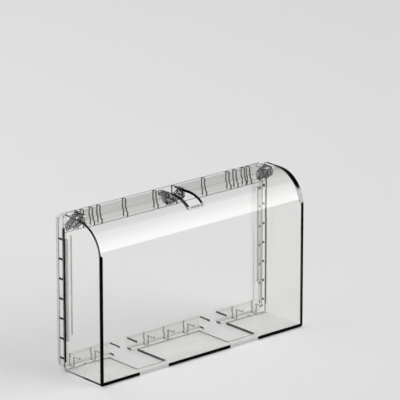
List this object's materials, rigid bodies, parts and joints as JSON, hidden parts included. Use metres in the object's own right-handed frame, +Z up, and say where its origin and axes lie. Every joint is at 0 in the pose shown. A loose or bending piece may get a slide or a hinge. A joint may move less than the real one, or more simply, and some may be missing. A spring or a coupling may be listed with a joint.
{
  "type": "weatherproof socket cover",
  "caption": "Clear splash cover for a double wall socket: a base frame fixed round the plates and a curved hood that flips up on pin hinges, with cable notches below.",
  "frame": {"origin": "underside of the hood, at the middle of the cover's width and of its depth from the wall", "axes": "+X along the wall to the right as seen from the front, +Y into the wall, +Z up"},
  "size_m": [0.2, 0.051, 0.1222],
  "materials": {
    "frame_plastic": "clear, polished",
    "hood_plastic": "clear, polished",
    "pin_steel": "turned stainless steel",
    "adhesive_tape": "translucent grey foam tape"
  },
  "bodies": {
    "wall_frame": {"base_frame": "frame_plastic", "hinge_pin_left": "pin_steel", "hinge_pin_right": "pin_steel", "tape_top": "adhesive_tape", "tape_left": "adhesive_tape", "tape_right": "adhesive_tape", "tape_bottom_left": "adhesive_tape", "tape_bottom_centre": "adhesive_tape", "tape_bottom_right": "adhesive_tape"},
    "hood": {"flip_hood": "hood_plastic", "hinge_pin_centre": "pin_steel"}
  },
  "joints": [
    {"name": "hood_hinge", "type": "hinge", "parent": "wall_frame", "child": "hood", "pos_m": [0, 0.00995, 0.1165], "axis": [-1, 0, 0], "range_deg": [0, 100]}
  ]
}
